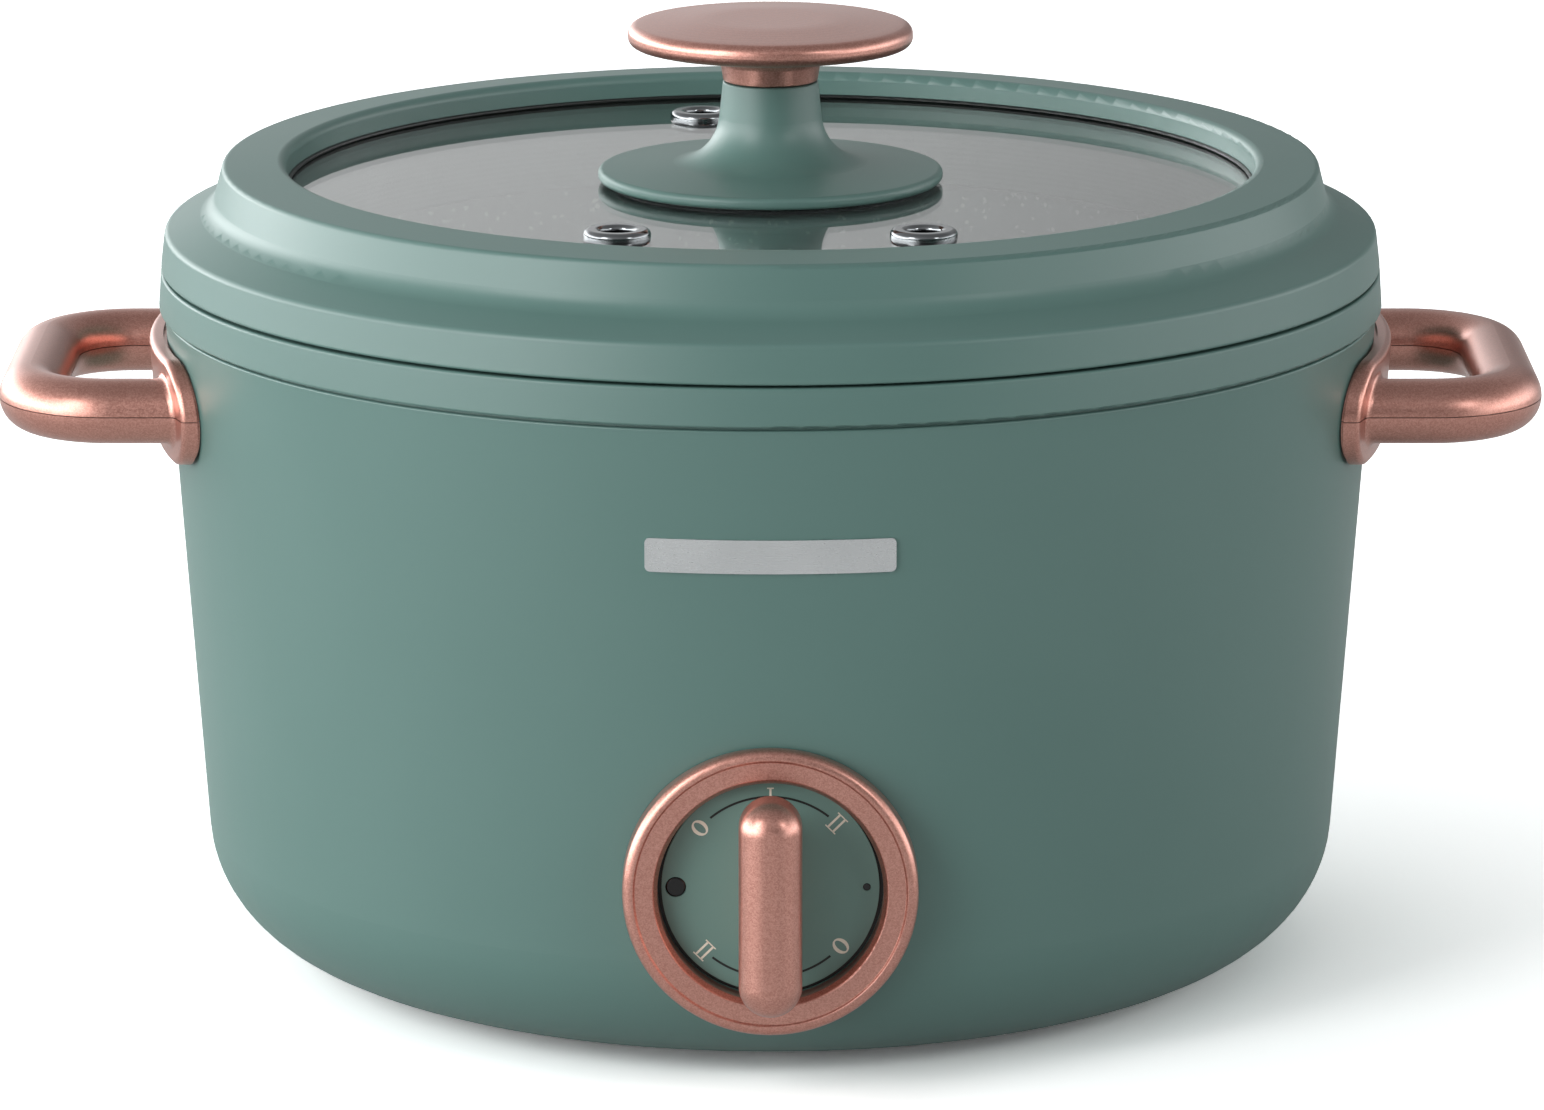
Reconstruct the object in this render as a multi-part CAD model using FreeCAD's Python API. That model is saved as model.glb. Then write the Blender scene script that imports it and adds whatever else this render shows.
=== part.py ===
import FreeCAD, Part
import math
import os

# Four litre slow cooker: a coned housing with a collar, a non-stick pot that lifts out, a glass lid in a
# moulded rim, a three-position dial and two bar handles, with the heater, wiring and controls inside.
# Millimetres, +Z up, the dial faces -Y, and the origin is on the table under the middle of the body.

Vector = FreeCAD.Vector
X = Vector(1, 0, 0)
Y = Vector(0, 1, 0)
Z = Vector(0, 0, 1)
ORIGIN = Vector(0, 0, 0)
ACROSS_AND_ALONG = {"X": (Y, Z), "Y": (X, Z), "Z": (X, Y)}
AXES = {"X": X, "Y": Y, "Z": Z}

# Fits and small gaps
SLIDE_GAP = 0.3
RUNNING_FIT = 0.05
DRILL_FIT = 0.05

# Housing
DRAFT = math.tan(math.radians(4.0))
HOUSING_TOP_R = 144.3
HOUSING_TOP_Z = 157.5
HOUSING_BOTTOM_Z = 4.0
HOUSING_BASE_ROUND = 30.0
SEAM_DEG = 45.0
WALL = 3.0
NECK_HEIGHT = 0.8
NECK_R = 143.1
FLANGE_OPENING_R = 97.0
FLANGE_RECESS_R = 103.5
FLANGE_Z = 7.0
FLANGE_TOP_Z = 10.0

# Collar
COLLAR_BOTTOM_Z = HOUSING_TOP_Z + NECK_HEIGHT
COLLAR_TOP_Z = 167.2
COLLAR_BOTTOM_R = 145.6
COLLAR_TOP_R = 145.0
LEDGE_Z = 164.7
LEDGE_THICK = 2.7
LEDGE_OUTER_R = 134.0
WELL_R = 122.5
NOTCH_WIDTH = 32.0

# Heat liner
SHEET = 0.8
LINER_FLANGE_Z = 156.0
LINER_FLANGE_R = 137.0
LINER_WAIST_R = 119.0
LINER_WAIST_Z = 100.0
LINER_FOOT_R = 108.5
LINER_FOOT_Z = 62.0
LINER_FLOOR_Z = 36.0
LINER_SCREW_R = 131.0

# Inner pot
POT_WALL = 2.5
POT_BOTTOM_Z = 62.0
POT_BOTTOM_R = 112.9
POT_NECK_R = 120.0
POT_FLANGE_R = 133.0
POT_FLANGE_Z = LEDGE_Z + SLIDE_GAP
POT_TOP_Z = 167.3
POT_BASE_ROUND = 28.0

# Heater
PLATE_R = 86.0
PLATE_HOLE_R = 17.0
PLATE_TOP_Z = POT_BOTTOM_Z - SLIDE_GAP
PLATE_BOTTOM_Z = 52.0
ELEMENT_RING_R = 50.0
ELEMENT_R = 3.6
ELEMENT_Z = 50.5
ELEMENT_GAP_DEG = 12.0
STANDOFF_R = 76.0
PROBE_R = 15.0
PROBE_TOP_Z = 61.8
STEM_R = 3.0

# Dial and switch
DIAL_Z = 50.8
DIAL_FACE_Y = -136.5
DIAL_FACE_THICK = 2.5
RING_FRONT_Y = -143.0
RING_R = 33.3
RING_LIP_R = 25.4
RING_PAD_R = 31.9
FACE_GROOVE = 0.9
SHADOW_GAP = 0.8
SPIGOT_R = 30.0
SPIGOT_BORE_R = 28.2
SPIGOT_BACK_Y = -124.0
LARGE_LAMP_X = -21.3
LARGE_LAMP_R = 2.3
SMALL_LAMP_X = 21.7
SMALL_LAMP_R = 0.85
BAR_FRONT_Y = -161.2
BAR_BACK_Y = -147.5
BAR_LENGTH = 49.6
BAR_WIDTH = 14.2
FIN_LENGTH = 36.0
FIN_WIDTH = 11.8
SWITCH_HALF = 13.0
SWITCH_SCREW_SINK = 1.3
SWITCH_FRONT_Y = DIAL_FACE_Y + DIAL_FACE_THICK
SWITCH_BACK_Y = -115.0
SWITCH_COVER_Y = -113.0
SHAFT_R = 3.0
SHAFT_FRONT_Y = -153.0
SHAFT_BACK_Y = -116.2

# Handles
HANDLE_Z = 139.5
TUBE_R = 7.6
TUBE_BORE_R = 5.0
LEG_Y = 41.0
HANDLE_BAR_X = 174.9
HANDLE_BEND_R = 20.0
HANDLE_PLATE_HALF_Y = 54.0
HANDLE_PLATE_HALF_Z = 12.5
HANDLE_PLATE_THICK = 4.2
PARTING_GAP = 0.2
HANDLE_SCREW_Y = 20.0
HANDLE_SCREW_DZ = 6.5

# Power inlet
INLET_Z = 50.0
INLET_FRONT_Y = 140.0
INLET_BACK_Y = 119.0
INLET_SCREW_X = 20.0

# Base
FOOT_HEIGHT = 4.2
COVER_R = 103.0
BASE_SCREW_R = 100.2
FOOT_RING_R = 84.0

# Lid
RIM_BOTTOM_Z = 167.8
RIM_TOP_Z = 193.0
RIM_BORE_R = 115.0
RIM_POCKET_R = 126.0
GASKET_Z = 186.3
GASKET_THICK = 1.0
GLASS_R = 124.8
GLASS_THICK = 4.0
GLASS_BOTTOM_Z = GASKET_Z - GLASS_THICK
RING_SCREW_R = 128.4
VENT_FRONT_X = 35.2
VENT_FRONT_Y = -67.3
VENT_REAR_X = -17.1
VENT_REAR_Y = 87.7
VENT_BARREL_R = 5.5

# Lid knob
KNOB_BASE_R = 41.0
KNOB_BASE_Z = 187.1
KNOB_NECK_R = 11.3
KNOB_SEAM_Z = 210.8
KNOB_CAP_Z = 211.0
KNOB_TOP_Z = 225.7

# Wiring
WIRE_R = 1.4
WIRE_FLOOR_Z = 20.0


def corner_arc(before, corner, after, radius):
    """Start, middle and end of the arc that rounds one corner of an outline."""
    to_before = (before - corner).normalize()
    to_after = (after - corner).normalize()
    half = to_before.getAngle(to_after) / 2
    bisector = (to_before + to_after).normalize()
    run = radius / math.tan(half)
    centre = corner + bisector * (radius / math.sin(half))
    return corner + to_before * run, centre - bisector * radius, corner + to_after * run


def rounded_edges(corners, radii, closed):
    """Straight runs through the corners, joined by a tangent arc wherever a radius is given."""
    stretches = []
    for index, corner in enumerate(corners):
        if radii[index]:
            after = corners[(index + 1) % len(corners)]
            stretches.append(corner_arc(corners[index - 1], corner, after, radii[index]))
        else:
            stretches.append((corner, corner, corner))
    edges = []
    for index, (start, middle, end) in enumerate(stretches):
        if radii[index]:
            edges.append(Part.Arc(start, middle, end).toShape())
        if index + 1 < len(stretches) or closed:
            following = stretches[(index + 1) % len(stretches)][0]
            if (following - end).Length > 1e-6:
                edges.append(Part.makeLine(end, following))
    return edges


def outline_face(points, across, along):
    """Flat face inside (u, v) points; a third value in a point rounds that corner."""
    corners = [across * point[0] + along * point[1] for point in points]
    radii = [point[2] if len(point) > 2 else 0 for point in points]
    return Part.Face(Part.Wire(rounded_edges(corners, radii, True)))


def upright(solid):
    """The same solid with its faces pointing outwards."""
    if solid.Volume < 0:
        solid.reverse()
    return solid


def turned(points, along=Z, centre=ORIGIN):
    """Solid turned about the along axis from (radius, distance along the axis) points."""
    face = outline_face(points, Z if along == X else X, along)
    face.translate(centre)
    return upright(face.revolve(centre, along, 360))


def prism(points, direction, start, end):
    """Outline in the plane square to an axis, pushed from start to end along it."""
    across, along = ACROSS_AND_ALONG[direction]
    face = outline_face(points, across, along)
    face.translate(AXES[direction] * start)
    return upright(face.extrude(AXES[direction] * (end - start)))


def rectangle(u, v, half_u, half_v, radius=0):
    """Outline points of a rectangle about (u, v)."""
    signs = [(-1, -1), (1, -1), (1, 1), (-1, 1)]
    return [(u + su * half_u, v + sv * half_v, radius) for su, sv in signs]


def rod(x, y, z, radius, length, direction=Z):
    """Round rod that starts at a point and runs along a direction."""
    return Part.makeCylinder(radius, length, Vector(x, y, z), direction)


def spots(count, radius, first_deg):
    """Points evenly spaced round the middle."""
    angles = [math.radians(first_deg + 360 * i / count) for i in range(count)]
    return [(radius * math.cos(a), radius * math.sin(a)) for a in angles]


def cut_all(solid, tools):
    """The solid with every tool taken out of it."""
    return solid.cut(Part.makeCompound(tools))


def mirrored(shape):
    """The shape on the other side of the YZ plane."""
    return shape.mirror(ORIGIN, X)


def group(solids):
    """Separate solids that share one node."""
    return Part.makeCompound(solids)


def screw(x, y, z, shank_r, shank, head_r, head, direction):
    """Pan-head screw: the point is where the shank leaves the head, the direction runs down the shank."""
    body = turned([
        (0, -head),
        (head_r * 0.55, -head),
        (head_r, -head * 0.45, head * 0.4),
        (head_r, 0),
        (shank_r, 0),
        (shank_r, shank - shank_r),
        (shank_r * 0.3, shank),
        (0, shank),
    ])
    slot_half = head_r * 0.55
    slot = head_r * 0.11
    for half_u, half_v in ((slot_half, slot), (slot, slot_half)):
        body = body.cut(prism(rectangle(0, 0, half_u, half_v), "Z", -head - 1, -head * 0.5))
    body.Placement = FreeCAD.Placement(Vector(x, y, z), FreeCAD.Rotation(Z, direction))
    return body


def tube_run(points, bends, radius):
    """Round bar along straight runs with tangent bends."""
    path = Part.Wire(rounded_edges(points, bends, False))
    start = points[0]
    circle = Part.Circle(start, points[1] - start, radius).toShape()
    return upright(path.makePipeShell([Part.Wire(circle)], True, True))


# ---------------------------------------------------------------- housing, collar and liner

def housing_radius(z):
    """Radius of the outside of the coned wall at a height."""
    return HOUSING_TOP_R - (HOUSING_TOP_Z - z) * DRAFT


def housing_filled(inset):
    """The housing's outside shape as a full solid, moved inwards by inset."""
    floor = HOUSING_BOTTOM_Z + inset
    top = HOUSING_TOP_Z + 10
    filled = turned([
        (0, floor),
        (housing_radius(floor) - inset, floor, HOUSING_BASE_ROUND - inset),
        (housing_radius(top) - inset, top),
        (0, top),
    ])
    return filled.rotate(ORIGIN, Z, SEAM_DEG)


def handle_screw_places():
    """(y, z) of the four screws of one handle, the upper two first."""
    return [(sy * HANDLE_SCREW_Y, HANDLE_Z + sz * HANDLE_SCREW_DZ) for sz in (1, -1) for sy in (1, -1)]


def outer_housing():
    inner_round = HOUSING_BASE_ROUND - (FLANGE_TOP_Z - HOUSING_BOTTOM_Z)
    shell = turned([
        (FLANGE_RECESS_R, HOUSING_BOTTOM_Z, 0.4),
        (housing_radius(HOUSING_BOTTOM_Z), HOUSING_BOTTOM_Z, HOUSING_BASE_ROUND),
        (HOUSING_TOP_R, HOUSING_TOP_Z, 0.5),
        (NECK_R, HOUSING_TOP_Z),
        (NECK_R, COLLAR_BOTTOM_Z),
        (housing_radius(COLLAR_BOTTOM_Z) - WALL, COLLAR_BOTTOM_Z),
        (housing_radius(FLANGE_TOP_Z) - WALL, FLANGE_TOP_Z, inner_round),
        (FLANGE_OPENING_R, FLANGE_TOP_Z),
        (FLANGE_OPENING_R, FLANGE_Z),
        (FLANGE_RECESS_R, FLANGE_Z),
    ])
    bosses = [rod(x, y, FLANGE_TOP_Z - 1, 4, 7) for x, y in spots(4, BASE_SCREW_R + 1, 0)]
    for side in (1, -1):
        bosses.append(rod(side * INLET_SCREW_X, 126.0, INLET_Z, 3.5, 7.5, Y))
    shell = shell.fuse(bosses)
    holes = [rod(x, y, 0, 1.5 + DRILL_FIT, 15.5) for x, y in spots(4, BASE_SCREW_R, 0)]
    holes.append(rod(0, -150, DIAL_Z, SPIGOT_R + 0.1, 30, Y))
    holes.append(prism(rectangle(0, INLET_Z, 15.2, 11.2, 3), "Y", 115, 145))
    for side in (1, -1):
        holes.append(rod(side * INLET_SCREW_X, 127.0, INLET_Z, 1.5 + DRILL_FIT, 20, Y))
        for y, z in handle_screw_places():
            holes.append(rod(side * 125, y, z, 1.6, 25, X * side))
    return cut_all(shell, holes)


def top_collar():
    ring = turned([
        (COLLAR_BOTTOM_R, COLLAR_BOTTOM_Z, 0.6),
        (COLLAR_TOP_R, COLLAR_TOP_Z, 0.7),
        (LEDGE_OUTER_R, COLLAR_TOP_Z, 0.5),
        (LEDGE_OUTER_R, LEDGE_Z),
        (WELL_R, LEDGE_Z, 0.6),
        (WELL_R, LINER_FLANGE_Z),
        (WELL_R + 2.5, LINER_FLANGE_Z),
        (WELL_R + 2.5, LEDGE_Z - LEDGE_THICK),
        (138.0, LEDGE_Z - LEDGE_THICK),
        (138.0, 150.0),
        (140.5, 150.0, 0.4),
        (140.5, COLLAR_BOTTOM_Z),
    ])
    solids = [rod(x, y, LINER_FLANGE_Z, 4, 7) for x, y in spots(4, LINER_SCREW_R, 45)]
    tools = [rod(x, y, 155, 1.5 + DRILL_FIT, 7) for x, y in spots(4, LINER_SCREW_R, 45)]
    for side in (1, -1):
        block = rectangle(side * 131.0, 0, 7.0, NOTCH_WIDTH / 2 + 2, 5)
        solids.append(prism(block, "Z", COLLAR_BOTTOM_Z, LEDGE_Z - 1))
        pocket = rectangle(side * 132.5, 0, 6.0, NOTCH_WIDTH / 2, 5)
        tools.append(prism(pocket, "Z", COLLAR_BOTTOM_Z + 2, COLLAR_TOP_Z + 2))
    return cut_all(ring.fuse(solids), tools)


def heat_liner():
    floor_top = LINER_FLOOR_Z + SHEET
    sheet = turned([
        (0, LINER_FLOOR_Z),
        (LINER_FOOT_R, LINER_FLOOR_Z, 10 + SHEET),
        (LINER_FOOT_R + SHEET, LINER_FOOT_Z, 20),
        (LINER_WAIST_R + SHEET, LINER_WAIST_Z, 60),
        (WELL_R + SHEET, LINER_FLANGE_Z - SHEET, 1.5),
        (LINER_FLANGE_R, LINER_FLANGE_Z - SHEET),
        (LINER_FLANGE_R, LINER_FLANGE_Z),
        (WELL_R, LINER_FLANGE_Z, 1.5 + SHEET),
        (LINER_WAIST_R, LINER_WAIST_Z, 60),
        (LINER_FOOT_R, LINER_FOOT_Z, 20),
        (LINER_FOOT_R - SHEET, floor_top, 10),
        (0, floor_top),
    ])
    holes = [rod(x, y, 150, 1.7, 10) for x, y in spots(4, LINER_SCREW_R, 45)]
    holes += [rod(x, y, 30, 2.2, 10) for x, y in spots(3, STANDOFF_R, 30)]
    holes += [rod(x, y, 30, 5.5, 10) for x, y in element_ends()]
    holes.append(rod(0, 0, 30, STEM_R + 0.5, 10))
    return cut_all(sheet, holes)


def liner_screws():
    top = LINER_FLANGE_Z - SHEET
    return group([screw(x, y, top, 1.5, 6.3, 2.9, 1.8, Z) for x, y in spots(4, LINER_SCREW_R, 45)])


# ---------------------------------------------------------------- heater

def element_ends():
    """(x, y) of the heating element's two cold ends, at the rear."""
    angles = [math.radians(90 + side * ELEMENT_GAP_DEG) for side in (-1, 1)]
    return [(ELEMENT_RING_R * math.cos(a), ELEMENT_RING_R * math.sin(a)) for a in angles]


def heating_element():
    x, y = element_ends()[1]
    circle = Part.Circle(Vector(x, y, ELEMENT_Z), Vector(-y, x, 0), ELEMENT_R).toShape()
    sweep = 360 - 2 * ELEMENT_GAP_DEG
    ring = upright(Part.Face(Part.Wire(circle)).revolve(ORIGIN, Z, sweep))
    solids = []
    for end_x, end_y in element_ends():
        solids.append(Part.makeSphere(ELEMENT_R, Vector(end_x, end_y, ELEMENT_Z)))
        solids.append(rod(end_x, end_y, 33, ELEMENT_R, ELEMENT_Z - 33))
        solids.append(prism(rectangle(end_x, end_y, 3.1, 0.4), "Z", 26, 34))
    return ring.fuse(solids)


def heating_plate(element):
    plate = turned([
        (PLATE_HOLE_R, PLATE_BOTTOM_Z),
        (PLATE_R, PLATE_BOTTOM_Z, 1),
        (PLATE_R, PLATE_TOP_Z, 2),
        (PLATE_HOLE_R, PLATE_TOP_Z, 1),
    ])
    holes = [rod(x, y, 50, 2.0 + DRILL_FIT, 8.5) for x, y in spots(3, STANDOFF_R, 30)]
    return cut_all(plate, [element] + holes)


def plate_standoffs():
    foot = LINER_FLOOR_Z + SHEET
    height = PLATE_BOTTOM_Z - foot
    places = spots(3, STANDOFF_R, 30)
    return group([rod(x, y, foot, 5, height).cut(rod(x, y, foot, 2.1, height)) for x, y in places])


def plate_screws():
    places = spots(3, STANDOFF_R, 30)
    return group([screw(x, y, LINER_FLOOR_Z, 2.0, 22, 3.8, 2.2, Z) for x, y in places])


def thermostat_housing():
    foot = LINER_FLOOR_Z + SHEET
    bore = STEM_R + RUNNING_FIT
    return turned([
        (bore, foot),
        (14, foot, 0.4),
        (14, foot + 1.6, 0.4),
        (10, foot + 1.6),
        (10, 44.0, 1),
        (bore, 44.0),
    ])


def probe_spring():
    wire_r = 0.5
    coil_r = 5.5
    low = 44.0 + wire_r
    high = PROBE_TOP_Z - 1.5 - wire_r
    coils = 5
    helix = Part.makeHelix((high - low) / coils, high - low, coil_r)
    helix.translate(Z * low)
    circle = Part.Circle(Vector(coil_r, 0, low), Y, wire_r).toShape()
    return upright(Part.Wire(helix).makePipeShell([Part.Wire(circle)], True, True))


def probe_cap():
    return turned([
        (0, PROBE_TOP_Z),
        (PROBE_R, PROBE_TOP_Z, 1.2),
        (PROBE_R, 54.5),
        (PROBE_R - 1, 54.5),
        (PROBE_R - 1, PROBE_TOP_Z - 1.5, 0.8),
        (0, PROBE_TOP_Z - 1.5),
    ])


def probe_stem():
    stem_bottom_z = 31.0
    return rod(0, 0, stem_bottom_z, STEM_R, PROBE_TOP_Z - 1.5 - stem_bottom_z)


def thermal_fuse():
    fuse_r = 2.2
    z = PLATE_BOTTOM_Z - fuse_r
    body = turned([(0, -7), (fuse_r, -7, 0.6), (fuse_r, 6), (0.9, 8.5), (0, 8.5)], X)
    leads = [rod(-15, 0, 0, 0.5, 8.5, X), rod(8, 0, 0, 0.5, 7, X)]
    fuse = body.fuse(leads)
    fuse.translate(Vector(0, -30, z))
    return fuse


def fuse_clip():
    return prism([
        (-38, PLATE_BOTTOM_Z - 0.8),
        (-33.4, PLATE_BOTTOM_Z - 0.8),
        (-33.4, PLATE_BOTTOM_Z - 5.3, 2.4),
        (-26.6, PLATE_BOTTOM_Z - 5.3, 2.4),
        (-26.6, PLATE_BOTTOM_Z),
        (-27.4, PLATE_BOTTOM_Z),
        (-27.4, PLATE_BOTTOM_Z - 4.5, 1.8),
        (-32.6, PLATE_BOTTOM_Z - 4.5, 1.8),
        (-32.6, PLATE_BOTTOM_Z),
        (-38, PLATE_BOTTOM_Z),
    ], "X", -2.5, 2.5)


# ---------------------------------------------------------------- dial and switch

def dial_bezel():
    """Ring with a spigot through the wall; three barbs behind the wall hold it."""
    centre = Z * DIAL_Z
    ring = turned([
        (RING_LIP_R, DIAL_FACE_Y),
        (RING_LIP_R, -141.2, 0.5),
        (RING_LIP_R + 1.0, RING_FRONT_Y + 0.4, 0.5),
        (30.5, RING_FRONT_Y + 0.4, 0.15),
        (30.9, RING_FRONT_Y, 0.3),
        (RING_R, RING_FRONT_Y, 2.0),
        (RING_R, SPIGOT_BACK_Y),
        (RING_LIP_R, SPIGOT_BACK_Y),
    ], Y, centre)
    pad = turned([
        (RING_LIP_R, DIAL_FACE_Y),
        (RING_PAD_R, DIAL_FACE_Y - 3),
        (RING_PAD_R, SPIGOT_BACK_Y),
        (RING_LIP_R, SPIGOT_BACK_Y),
    ], Y, centre)
    collar = ring.cut(housing_filled(-SHADOW_GAP)).fuse(pad.cut(housing_filled(0)))
    seat = turned([
        (RING_LIP_R, DIAL_FACE_Y - 3),
        (SPIGOT_R, DIAL_FACE_Y - 3),
        (SPIGOT_R, SPIGOT_BACK_Y),
        (SPIGOT_BORE_R, SPIGOT_BACK_Y),
        (SPIGOT_BORE_R, DIAL_FACE_Y),
        (RING_LIP_R, DIAL_FACE_Y),
    ], Y, centre)
    bore = rod(0, DIAL_FACE_Y, DIAL_Z, SPIGOT_BORE_R, 20, Y)
    barb_r = SPIGOT_R + 0.25
    side_y = -math.sqrt((housing_radius(DIAL_Z) - WALL) ** 2 - barb_r ** 2) + 0.4
    barbs = [prism(rectangle(side * barb_r, DIAL_Z, 0.75, 3), "Y", side_y, side_y + 2) for side in (1, -1)]
    top_y = WALL - housing_radius(DIAL_Z + barb_r) + 0.3
    barbs.append(prism(rectangle(0, DIAL_Z + barb_r, 3, 0.75), "Y", top_y, top_y + 2))
    return collar.cut(bore).fuse([seat] + barbs)


def dial_face():
    disc = turned([
        (0, DIAL_FACE_Y),
        (SPIGOT_BORE_R - 0.2, DIAL_FACE_Y),
        (SPIGOT_BORE_R - 0.2, SWITCH_FRONT_Y),
        (0, SWITCH_FRONT_Y),
    ], Y, Z * DIAL_Z)
    posts = []
    for x, z in spots(4, 24.0, 45):
        posts.append(rod(x, SWITCH_FRONT_Y, DIAL_Z + z, 1.6, 3.0, Y))
    groove = rod(0, DIAL_FACE_Y - 1, DIAL_Z, RING_LIP_R, 2.0, Y)
    holes = [
        groove.cut(rod(0, DIAL_FACE_Y - 1, DIAL_Z, RING_LIP_R - FACE_GROOVE, 2.0, Y)),
        rod(0, DIAL_FACE_Y - 1, DIAL_Z, 5, 5, Y),
        rod(LARGE_LAMP_X, DIAL_FACE_Y - 1, DIAL_Z, LARGE_LAMP_R + DRILL_FIT, 5, Y),
        rod(SMALL_LAMP_X, DIAL_FACE_Y - 1, DIAL_Z, SMALL_LAMP_R + DRILL_FIT, 5, Y),
    ]
    for side in (1, -1):
        holes.append(rod(0, DIAL_FACE_Y - 1, DIAL_Z + side * 9, 1.5, 5, Y))
        holes.append(rod(0, DIAL_FACE_Y - 1, DIAL_Z + side * 9, 2.8, 1 + SWITCH_SCREW_SINK, Y))
    return cut_all(disc.fuse(posts), holes)


def lamp_lens(x, radius):
    """Lens flush with the dial face, with a flange behind it."""
    return turned([
        (0, DIAL_FACE_Y),
        (radius, DIAL_FACE_Y, radius * 0.2),
        (radius, SWITCH_FRONT_Y),
        (radius + 0.8, SWITCH_FRONT_Y),
        (radius + 0.8, SWITCH_FRONT_Y + 0.6),
        (0, SWITCH_FRONT_Y + 0.6),
    ], Y, Vector(x, 0, DIAL_Z))


def lamp_board():
    back = SWITCH_FRONT_Y + 3.0
    board = rod(0, back, DIAL_Z, 27.4, 1.4, Y)
    board = board.cut(prism(rectangle(0, DIAL_Z, SWITCH_HALF + 0.4, SWITCH_HALF + 0.4, 1), "Y", -135, -125))
    resistors = [rod(x, back + 2.7, DIAL_Z + 16.5, 1.0, 5.5, X) for x in (-9.0, 3.5)]
    leads = [rod(x, back + 1.0, DIAL_Z + 16.5, 0.35, 1.7, Y) for x in (-8.5, -4.0, 4.0, 8.5)]
    return board.fuse(resistors + leads)


def lamp_leds():
    back = SWITCH_FRONT_Y + 3.0
    lamps = []
    for x in (LARGE_LAMP_X, SMALL_LAMP_X):
        lamps.append(turned([
            (0, back - 2.2),
            (1.5, back - 2.2, 1.0),
            (1.5, back - 0.6),
            (1.9, back - 0.6),
            (1.9, back),
            (0, back),
        ], Y, Vector(x, 0, DIAL_Z)))
    return group(lamps)


def switch_body():
    wall = 2.0
    inner = SWITCH_HALF - wall
    body = prism(rectangle(0, DIAL_Z, SWITCH_HALF, SWITCH_HALF, 1.5), "Y", SWITCH_FRONT_Y, SWITCH_BACK_Y)
    room = prism(rectangle(0, DIAL_Z, inner, inner, 1), "Y", SWITCH_FRONT_Y + wall, SWITCH_BACK_Y)
    bushing = rod(0, DIAL_FACE_Y, DIAL_Z, 4.5, 6, Y)
    bosses = [rod(0, SWITCH_FRONT_Y, DIAL_Z + side * 9, 2.4, 7, Y) for side in (1, -1)]
    holes = [rod(0, -140, DIAL_Z, SHAFT_R + RUNNING_FIT, 14, Y)]
    holes += [rod(0, -140, DIAL_Z + side * 9, 1.2 + DRILL_FIT, 13.1, Y) for side in (1, -1)]
    for side in (1, -1):
        slot = rectangle(side * 7.0, -121.0, 0.5, 3.3)
        holes.append(prism(slot, "Z", DIAL_Z - 15, DIAL_Z - 10))
    return cut_all(body.cut(room).fuse([bushing] + bosses), holes)


def switch_cover():
    plate = prism(rectangle(0, DIAL_Z, SWITCH_HALF, SWITCH_HALF, 1.5), "Y", SWITCH_BACK_Y, SWITCH_COVER_Y)
    boss = rod(0, SHAFT_BACK_Y - 1.6, DIAL_Z, 5, 3.4, Y)
    pocket = rod(0, SHAFT_BACK_Y - 2, DIAL_Z, SHAFT_R + RUNNING_FIT, 2.2, Y)
    return plate.fuse(boss).cut(pocket)


def switch_contacts():
    """Two fixed leaves whose tabs leave the underside of the switch."""
    places = [rectangle(side * 7.0, -121.0, 0.4, 3.1) for side in (1, -1)]
    return group([prism(place, "Z", DIAL_Z - 20, DIAL_Z - 7) for place in places])


def switch_screws():
    places = [DIAL_Z + side * 9 for side in (1, -1)]
    seat = DIAL_FACE_Y + SWITCH_SCREW_SINK
    return group([screw(0, seat, z, 1.2, 8, 2.6, SWITCH_SCREW_SINK - 0.05, Y) for z in places])


def switch_shaft():
    """Shaft with a flat on the stretch that the knob sits on."""
    shaft = rod(0, SHAFT_FRONT_Y, DIAL_Z, SHAFT_R, SHAFT_BACK_Y - SHAFT_FRONT_Y, Y)
    flat = prism(rectangle(0, DIAL_Z + 4, 4, 1.5), "Y", SHAFT_FRONT_Y - 1, DIAL_FACE_Y - 2)
    return shaft.cut(flat)


def switch_cam():
    cam = rod(0, -128.0, DIAL_Z, 5.4, 6, Y)
    lobe = prism(rectangle(0, DIAL_Z + 3.0, 2.2, 3.2, 1.5), "Y", -128.0, -122.0)
    return cam.fuse(lobe).cut(rod(0, -129, DIAL_Z, SHAFT_R, 8, Y))


def control_knob():
    bar = prism(rectangle(0, DIAL_Z, BAR_WIDTH / 2, BAR_LENGTH / 2, BAR_WIDTH / 2),
                "Y", BAR_FRONT_Y, BAR_BACK_Y)
    for face_y, radius in ((BAR_FRONT_Y, 6.2), (BAR_BACK_Y, 2.5)):
        edges = [e for e in bar.Edges if all(abs(v.Y - face_y) < 1e-3 for v in e.Vertexes)]
        bar = bar.makeFillet(radius, edges)
    fin = prism(rectangle(0, DIAL_Z, FIN_WIDTH / 2, FIN_LENGTH / 2, FIN_WIDTH / 2),
                "Y", BAR_BACK_Y - 3, DIAL_FACE_Y - SLIDE_GAP)
    knob = bar.fuse(fin)
    bore = rod(0, SHAFT_FRONT_Y, DIAL_Z, SHAFT_R, 20, Y)
    key = prism(rectangle(0, DIAL_Z + 4, 4, 1.5), "Y", SHAFT_FRONT_Y - 1, DIAL_FACE_Y - 2)
    return knob.cut(bore.cut(key))


def badge():
    """Plain metal strip on the front of the housing."""
    strip = prism(rectangle(0, 128.5, 28, 3.9, 1.2), "Y", -150, -120)
    return strip.common(housing_filled(-0.6)).cut(housing_filled(0))


# ---------------------------------------------------------------- handles

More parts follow.
